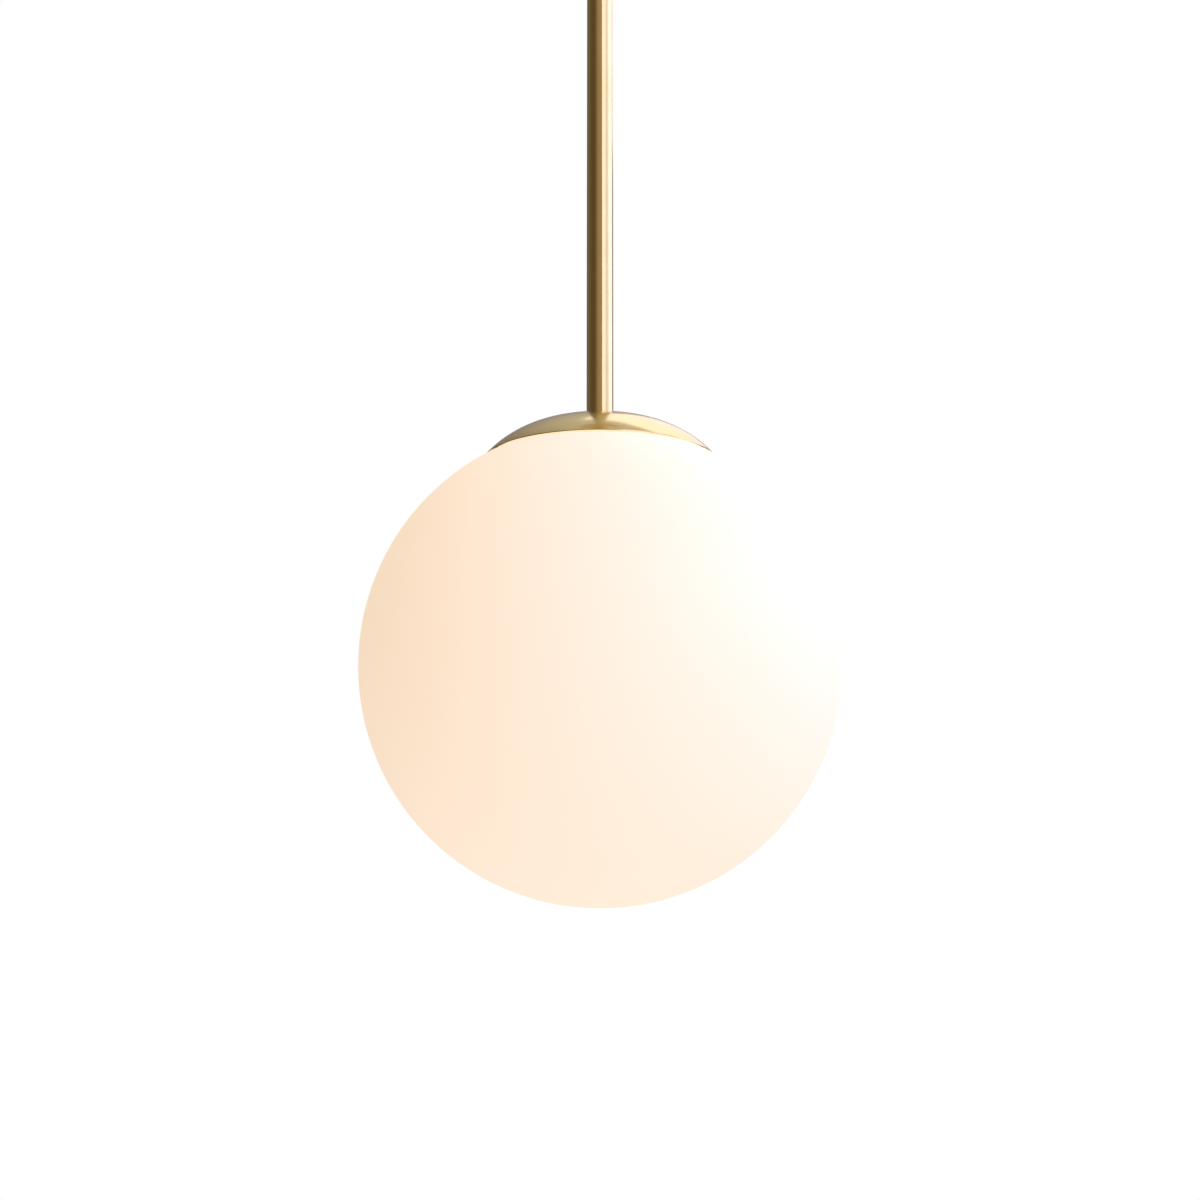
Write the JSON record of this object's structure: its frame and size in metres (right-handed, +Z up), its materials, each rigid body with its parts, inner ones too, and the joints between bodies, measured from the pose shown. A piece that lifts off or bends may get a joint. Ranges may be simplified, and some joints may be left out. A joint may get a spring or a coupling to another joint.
{
  "type": "pendant ceiling light",
  "caption": "Opal glass globe under a shallow spun brass cap, on a straight brass stem that hangs from a swivel and a round ceiling canopy.",
  "frame": {"origin": "centre of the ceiling plane, on the top face of the crossbar", "axes": "+Z up, +X from one canopy ball nut to the other, -Y towards the front; everything hangs below the origin"},
  "size_m": [0.25, 0.25, 0.6231],
  "materials": {
    "brushed_brass": "satin brushed, clear lacquered",
    "opal_glass": "blown opal glass, acid-etched matt outside",
    "zinc_plated_steel": "bright zinc plate",
    "spring_steel": "bare spring steel",
    "porcelain": "white glaze",
    "contact_brass": "bare stamped brass",
    "silicone": "translucent white silicone",
    "white_nylon": "moulded nylon",
    "flex_sheath": "extruded sheath",
    "brown_insulation": "extruded insulation",
    "blue_insulation": "extruded insulation",
    "green_insulation": "extruded insulation, yellow stripe",
    "green_steel": "green dyed earth screw",
    "frosted_lamp_glass": "frosted inside",
    "black_glass": "fired black glass",
    "nickel_plated_brass": "bright nickel plate"
  },
  "bodies": {
    "canopy": {"crossbar": "zinc_plated_steel", "canopy_pan": "brushed_brass", "canopy_stud_left": "zinc_plated_steel", "canopy_stud_right": "zinc_plated_steel", "stud_nut_left": "zinc_plated_steel", "stud_nut_right": "zinc_plated_steel", "ball_nut_left": "brushed_brass", "ball_nut_right": "brushed_brass", "terminal_block": "white_nylon", "terminal_screw_live": "contact_brass", "terminal_screw_earth": "contact_brass", "terminal_screw_neutral": "contact_brass", "earth_screw": "green_steel", "lead_live": "brown_insulation", "lead_earth": "green_insulation", "lead_neutral": "blue_insulation"},
    "swivel": {"swivel_fork": "brushed_brass", "swivel_washer": "zinc_plated_steel", "swivel_nut": "zinc_plated_steel", "swivel_screw_left": "brushed_brass", "swivel_screw_right": "brushed_brass"},
    "stem": {"swivel_tongue": "brushed_brass", "stem_tube": "brushed_brass", "stem_nipple": "zinc_plated_steel", "stem_flex": "flex_sheath", "cap_dome": "brushed_brass", "cap_washer": "zinc_plated_steel", "cap_nut": "zinc_plated_steel", "glass_gasket": "silicone", "holder_plate": "zinc_plated_steel", "plate_nut": "zinc_plated_steel", "clip_pin_1": "zinc_plated_steel", "clip_pin_2": "zinc_plated_steel", "clip_pin_3": "zinc_plated_steel", "clip_spring_1": "spring_steel", "clip_spring_2": "spring_steel", "clip_spring_3": "spring_steel", "lampholder_cover": "porcelain", "lampholder_body": "porcelain", "screw_shell": "contact_brass", "centre_contact": "contact_brass", "entry_nut": "zinc_plated_steel", "holder_terminal_live": "contact_brass", "holder_terminal_neutral": "contact_brass", "holder_lead_live": "brown_insulation", "holder_lead_neutral": "blue_insulation"},
    "globe": {"glass_globe": "opal_glass"},
    "clip_1": {"clip_arm_1": "spring_steel", "clip_pad_1": "silicone"},
    "clip_2": {"clip_arm_2": "spring_steel", "clip_pad_2": "silicone"},
    "clip_3": {"clip_arm_3": "spring_steel", "clip_pad_3": "silicone"},
    "lamp_contact": {"lamp_tip": "nickel_plated_brass"},
    "lamp": {"lamp_insulator": "black_glass", "lamp_cap": "nickel_plated_brass", "lamp_glass": "frosted_lamp_glass"}
  },
  "joints": [
    {"name": "swivel_spin", "type": "hinge", "parent": "canopy", "child": "swivel", "pos_m": [0, 0, -0.0243], "axis": [0, 0, 1], "range_deg": [-175, 175]},
    {"name": "stem_tilt", "type": "hinge", "parent": "swivel", "child": "stem", "pos_m": [0, 0, -0.044], "axis": [1, 0, 0], "range_deg": [-45, 45]},
    {"name": "globe_release", "type": "slide", "parent": "stem", "child": "globe", "axis": [0, 0, -1], "range_m": [0, 0.036], "stiffness_N_per_m": 150, "springref_m": -0.15},
    {"name": "clip_1_fold", "type": "hinge", "parent": "stem", "child": "clip_1", "pos_m": [0.024, 0, -0.3881], "axis": [0, 1, 0], "range_deg": [0, 75], "deforming": ["clip_spring_1"]},
    {"name": "clip_2_fold", "type": "hinge", "parent": "stem", "child": "clip_2", "pos_m": [-0.012, 0.02079, -0.3881], "axis": [-0.866, -0.5, 0], "range_deg": [0, 75], "deforming": ["clip_spring_2"]},
    {"name": "clip_3_fold", "type": "hinge", "parent": "stem", "child": "clip_3", "pos_m": [-0.012, -0.02079, -0.3881], "axis": [0.866, -0.5, 0], "range_deg": [0, 75], "deforming": ["clip_spring_3"]},
    {"name": "lamp_travel", "type": "slide", "parent": "stem", "child": "lamp_contact", "axis": [0, 0, -1], "range_m": [0, 0.01814]},
    {"name": "lamp_turn", "type": "hinge", "parent": "lamp_contact", "child": "lamp", "pos_m": [0, 0, -0.4041], "axis": [0, 0, -1], "range_deg": [0, 1800]}
  ],
  "couplings": [
    {"joint": "clip_1_fold", "follows": "globe_release", "rad_per_m": 36.361},
    {"joint": "clip_2_fold", "follows": "globe_release", "rad_per_m": 36.361},
    {"joint": "clip_3_fold", "follows": "globe_release", "rad_per_m": 36.361},
    {"joint": "lamp_turn", "follows": "lamp_travel", "rad_per_m": 1731.6}
  ]
}
